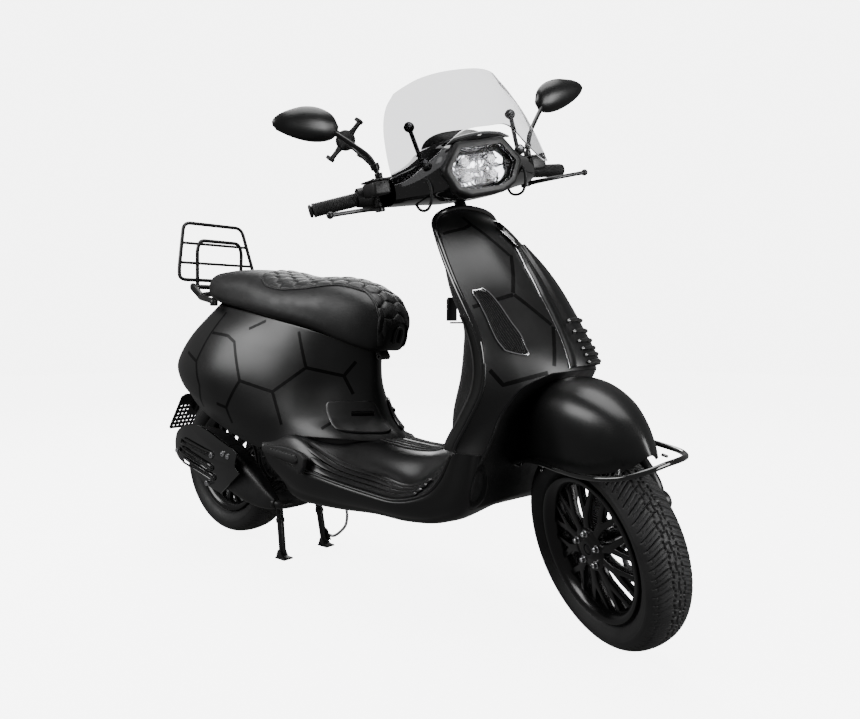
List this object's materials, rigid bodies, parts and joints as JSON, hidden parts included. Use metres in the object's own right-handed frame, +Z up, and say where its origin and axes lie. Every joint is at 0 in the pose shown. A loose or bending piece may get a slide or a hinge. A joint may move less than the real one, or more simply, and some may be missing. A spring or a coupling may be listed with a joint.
{
  "type": "moped scooter",
  "caption": "Step-through moped scooter on its centre stand: steered front wheel, headset with windscreen, quilted seat, folding rear rack.",
  "frame": {"origin": "on the ground, on the centre plane, 0.685 m behind the straight-ahead front axle", "axes": "+X forward, +Y to the rider's left, +Z up"},
  "size_m": [1.8632, 0.7575, 1.3432],
  "materials": {
    "satin_black": "satin",
    "gloss_black": "gloss",
    "black_plastic": "matte",
    "red_plastic": "matte",
    "black_tube": "gloss",
    "rubber": "matte",
    "tyre": "matte",
    "cast_alloy": "satin",
    "heat_steel": "satin",
    "bright_steel": "satin",
    "dark_alloy": "satin",
    "seat_leather": "matte",
    "smoked_glass": "gloss",
    "lamp_glass": "gloss",
    "lamp_red": "gloss",
    "grille": "gloss"
  },
  "bodies": {
    "chassis": {"body_shell": "satin_black", "floor_pan": "satin_black", "leg_shield": "satin_black", "shield_trim": "gloss_black", "wheel_arch": "black_plastic", "knee_panel": "satin_black", "nose_cover": "gloss_black", "front_indicators": "grille", "head_tube": "black_tube", "floor_strips": "rubber", "access_cover": "satin_black", "helmet_bucket": "black_plastic", "fuel_tank": "black_plastic", "rear_lights": "lamp_red", "plate_holder": "black_plastic", "grab_rail": "black_tube", "subframe": "black_tube"},
    "steering": {"fork_leg": "black_tube", "front_fender": "satin_black", "fender_bumper": "gloss_black", "headset": "gloss_black", "headlight_bezel": "gloss_black", "headlight_lens": "lamp_glass", "windscreen": "smoked_glass", "screen_brackets": "black_tube", "handlebar": "black_tube", "control_pods": "black_plastic", "brake_hoses": "rubber", "left_grip": "rubber"},
    "front_arm": {"link_arm": "cast_alloy", "front_caliper": "cast_alloy", "front_shock": "bright_steel"},
    "front_wheel": {"front_rim": "gloss_black", "front_tyre": "tyre", "brake_disc": "bright_steel"},
    "engine": {"engine_block": "cast_alloy", "belt_cover": "cast_alloy", "fan_cover": "black_plastic", "muffler": "heat_steel", "rear_shock": "bright_steel"},
    "rear_wheel": {"rear_rim": "gloss_black", "rear_tyre": "tyre"},
    "stand": {"centre_stand": "black_tube"},
    "seat": {"seat_cushion": "seat_leather", "seat_base": "black_plastic"},
    "rack": {"rack_flap": "black_tube"},
    "throttle": {"throttle_grip": "rubber"},
    "brake_lever_right": {"lever_right": "dark_alloy"},
    "brake_lever_left": {"lever_left": "dark_alloy"},
    "mirror_right": {"mirror_right": "gloss_black"},
    "mirror_left": {"mirror_left": "gloss_black"},
    "phone_holder": {"phone_cradle": "black_plastic"},
    "starter": {"starter_button": "red_plastic"},
    "horn": {"horn_button": "black_plastic"},
    "turn_switch": {"indicator_switch": "black_plastic"},
    "footpeg_right": {"peg_right": "black_tube"},
    "footpeg_left": {"peg_left": "black_tube"},
    "glovebox": {"glovebox_door": "satin_black"},
    "key": {"ignition_key": "bright_steel"},
    "filler_cap": {"fuel_cap": "black_plastic"}
  },
  "joints": [
    {"name": "steering_head", "type": "hinge", "parent": "chassis", "child": "steering", "pos_m": [0.275, 0, 1.0029], "axis": [-0.4462, 0, 0.8949], "range_deg": [-10, 67]},
    {"name": "front_suspension", "type": "hinge", "parent": "steering", "child": "front_arm", "pos_m": [0.80418, -0.01163, 0.33707], "axis": [0.427, 0.8788, 0.2129], "range_deg": [0, 17], "stiffness_Nm_per_rad": 220, "springref_deg": -17.19},
    {"name": "front_axle", "type": "hinge", "parent": "front_arm", "child": "front_wheel", "pos_m": [0.68265, -0.01032, 0.22783], "axis": [0.427, 0.8788, 0.2129], "continuous": true},
    {"name": "rear_suspension", "type": "hinge", "parent": "chassis", "child": "engine", "pos_m": [-0.235, 0, 0.332], "axis": [0, 1, 0], "range_deg": [0, 5], "stiffness_Nm_per_rad": 1500, "springref_deg": -5.73, "deforming": ["rear_shock"]},
    {"name": "rear_axle", "type": "hinge", "parent": "engine", "child": "rear_wheel", "pos_m": [-0.655, 0, 0.246], "axis": [0, 1, 0], "continuous": true},
    {"name": "centre_stand", "type": "hinge", "parent": "chassis", "child": "stand", "pos_m": [-0.352, 0, 0.172], "axis": [0, 1, 0], "range_deg": [0, 70]},
    {"name": "seat_hinge", "type": "hinge", "parent": "chassis", "child": "seat", "pos_m": [0.014, 0, 0.61], "axis": [0, 1, 0], "range_deg": [0, 65]},
    {"name": "rack_hinge", "type": "hinge", "parent": "chassis", "child": "rack", "pos_m": [-0.752, 0, 0.818], "axis": [0, -1, 0], "range_deg": [0, 84]},
    {"name": "throttle", "type": "hinge", "parent": "steering", "child": "throttle", "pos_m": [0.13738, -0.19029, 1.00283], "axis": [-0.5964, -0.7564, -0.2687], "range_deg": [0, 75], "stiffness_Nm_per_rad": 0.4, "springref_deg": -17.19},
    {"name": "brake_lever_right", "type": "hinge", "parent": "steering", "child": "brake_lever_right", "pos_m": [0.17499, -0.17783, 0.97462], "axis": [0.0484, 0.2129, -0.9759], "range_deg": [0, 14], "stiffness_Nm_per_rad": 2, "springref_deg": -5.73},
    {"name": "brake_lever_left", "type": "hinge", "parent": "steering", "child": "brake_lever_left", "pos_m": [0.35007, 0.18248, 1.06191], "axis": [-0.0484, -0.2129, 0.9759], "range_deg": [0, 14], "stiffness_Nm_per_rad": 2, "springref_deg": -5.73},
    {"name": "mirror_right", "type": "hinge", "parent": "steering", "child": "mirror_right", "pos_m": [0.19888, -0.2047, 1.03757], "axis": [-0.0484, -0.2129, 0.9759], "range_deg": [-30, 30]},
    {"name": "mirror_left", "type": "hinge", "parent": "steering", "child": "mirror_left", "pos_m": [0.37396, 0.15562, 1.12487], "axis": [-0.0484, -0.2129, 0.9759], "range_deg": [-30, 30]},
    {"name": "phone_holder", "type": "hinge", "parent": "mirror_right", "child": "phone_holder", "pos_m": [0.1195, -0.23336, 1.13191], "axis": [-0.865, 0.3285, 0.3792], "range_deg": [-90, 90]},
    {"name": "starter_button", "type": "slide", "parent": "steering", "child": "starter", "axis": [0.9029, -0.427, -0.0484], "range_m": [0, 0.003], "stiffness_N_per_m": 300, "springref_m": -0.001},
    {"name": "horn_button", "type": "slide", "parent": "steering", "child": "horn", "axis": [0.9029, -0.427, -0.0484], "range_m": [0, 0.003], "stiffness_N_per_m": 300, "springref_m": -0.001},
    {"name": "turn_switch", "type": "slide", "parent": "steering", "child": "turn_switch", "axis": [0.427, 0.8788, 0.2129], "range_m": [-0.0025, 0.0025]},
    {"name": "footpeg_right", "type": "hinge", "parent": "chassis", "child": "footpeg_right", "pos_m": [-0.084, -0.214, 0.324], "axis": [0, 0, 1], "range_deg": [0, 80]},
    {"name": "footpeg_left", "type": "hinge", "parent": "chassis", "child": "footpeg_left", "pos_m": [-0.084, 0.214, 0.324], "axis": [0, 0, -1], "range_deg": [0, 80]},
    {"name": "glovebox_hinge", "type": "hinge", "parent": "chassis", "child": "glovebox", "pos_m": [0.296, 0, 0.703], "axis": [0, -1, 0], "range_deg": [0, 45]},
    {"name": "ignition", "type": "hinge", "parent": "chassis", "child": "key", "pos_m": [0.262, 0.06, 0.88], "axis": [1, 0, 0], "range_deg": [0, 90]},
    {"name": "fuel_cap", "type": "hinge", "parent": "chassis", "child": "filler_cap", "pos_m": [-0.42, 0, 0.705], "axis": [0, 0, 1], "range_deg": [0, 120]}
  ]
}
